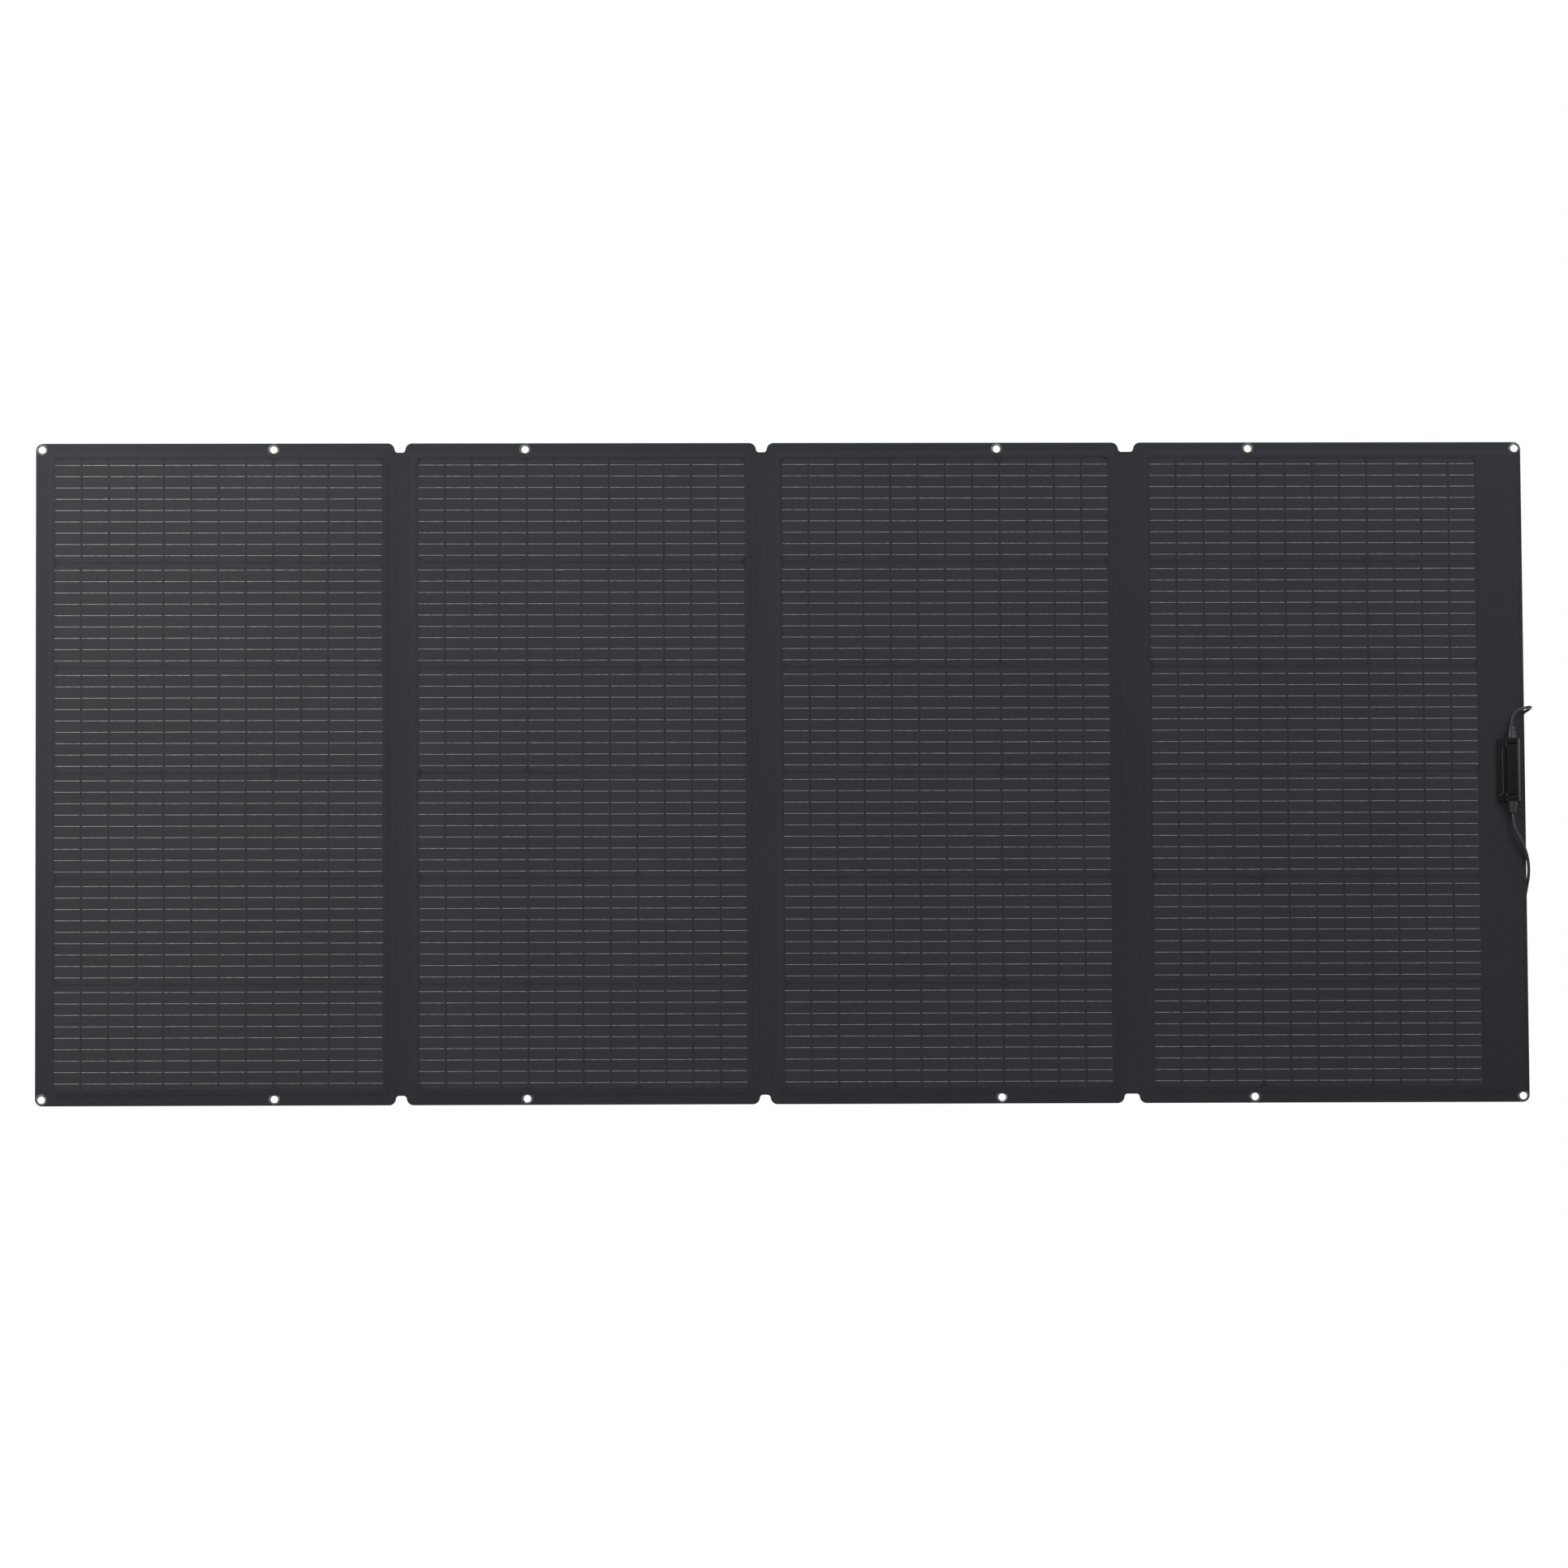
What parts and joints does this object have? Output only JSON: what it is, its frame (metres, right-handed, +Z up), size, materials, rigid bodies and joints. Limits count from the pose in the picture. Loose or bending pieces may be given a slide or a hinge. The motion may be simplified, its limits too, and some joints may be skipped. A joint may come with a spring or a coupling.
{
  "type": "flexible solar sheet",
  "caption": "Thin folding solar sheet: stiff leaves of dark cells in a black fabric skin, joined by fabric folds, with edge eyelets and an edge junction box with two leads.",
  "frame": {"origin": "midway between the two top corner eyelets, on the back face of the sheet", "axes": "+X to the right as seen from the front, -Y out of the front, +Z up the sheet towards its hanging edge"},
  "size_m": [2.3785, 0.0396, 1.058],
  "materials": {
    "fabric": "coarse black polyester weave",
    "board": "glass-fibre sheet, matte",
    "black_resin": "black encapsulant, matte",
    "cell": "dark blue-grey silicon, satin",
    "ribbon": "tinned copper, matte",
    "clear_resin": "clear encapsulant",
    "cover_film": "matte textured fluoropolymer film",
    "eyelet_metal": "black-finished metal",
    "box_plastic": "moulded black plastic, fine grain",
    "seal_rubber": "black rubber",
    "lead_jacket": "black cable jacket, satin",
    "connector_plastic": "moulded black plastic",
    "contact_metal": "tinned brass",
    "diode": "black epoxy"
  },
  "bodies": {
    "leaf_4": {"leaf_4_back_fabric": "fabric", "leaf_4_board": "board", "leaf_4_rear_encapsulant": "black_resin", "leaf_4_cells": "cell", "leaf_4_cell_ribbons": "ribbon", "leaf_4_string_links": "ribbon", "leaf_4_front_encapsulant": "clear_resin", "leaf_4_cover_film": "cover_film", "leaf_4_eyelets": "eyelet_metal", "fold_3_back_fabric": "fabric", "fold_3_conductors": "ribbon", "fold_3_front_film": "cover_film", "box_base": "box_plastic", "box_gasket": "seal_rubber", "box_lid": "box_plastic", "terminal_rails": "contact_metal", "bypass_diodes": "diode", "upper_gland": "seal_rubber", "lower_gland": "seal_rubber", "upper_lead": "lead_jacket", "lower_lead": "lead_jacket", "plug_nut": "connector_plastic", "plug_shell": "connector_plastic", "plug_contact": "contact_metal", "socket_nut": "connector_plastic", "socket_shell": "connector_plastic", "socket_contact": "contact_metal"},
    "leaf_3": {"leaf_3_back_fabric": "fabric", "leaf_3_board": "board", "leaf_3_rear_encapsulant": "black_resin", "leaf_3_cells": "cell", "leaf_3_cell_ribbons": "ribbon", "leaf_3_string_links": "ribbon", "leaf_3_front_encapsulant": "clear_resin", "leaf_3_cover_film": "cover_film", "leaf_3_eyelets": "eyelet_metal", "fold_2_back_fabric": "fabric", "fold_2_conductors": "ribbon", "fold_2_front_film": "cover_film"},
    "leaf_2": {"leaf_2_back_fabric": "fabric", "leaf_2_board": "board", "leaf_2_rear_encapsulant": "black_resin", "leaf_2_cells": "cell", "leaf_2_cell_ribbons": "ribbon", "leaf_2_string_links": "ribbon", "leaf_2_front_encapsulant": "clear_resin", "leaf_2_cover_film": "cover_film", "leaf_2_eyelets": "eyelet_metal", "fold_1_back_fabric": "fabric", "fold_1_conductors": "ribbon", "fold_1_front_film": "cover_film"},
    "leaf_1": {"leaf_1_back_fabric": "fabric", "leaf_1_board": "board", "leaf_1_rear_encapsulant": "black_resin", "leaf_1_cells": "cell", "leaf_1_cell_ribbons": "ribbon", "leaf_1_string_links": "ribbon", "leaf_1_front_encapsulant": "clear_resin", "leaf_1_cover_film": "cover_film", "leaf_1_eyelets": "eyelet_metal"}
  },
  "joints": [
    {"name": "fold_3", "type": "hinge", "parent": "leaf_4", "child": "leaf_3", "pos_m": [0.5515, -0.0061, 0], "axis": [0, 0, 1], "range_deg": [0, 178], "deforming": ["fold_3_back_fabric", "fold_3_conductors", "fold_3_front_film"]},
    {"name": "fold_2", "type": "hinge", "parent": "leaf_3", "child": "leaf_2", "pos_m": [-0.0295, 0.0015, 0], "axis": [0, 0, 1], "range_deg": [-180, 0], "deforming": ["fold_2_back_fabric", "fold_2_conductors", "fold_2_front_film"]},
    {"name": "fold_1", "type": "hinge", "parent": "leaf_2", "child": "leaf_1", "pos_m": [-0.6045, -0.0041, 0], "axis": [0, 0, 1], "range_deg": [0, 180], "deforming": ["fold_1_back_fabric", "fold_1_conductors", "fold_1_front_film"]}
  ]
}
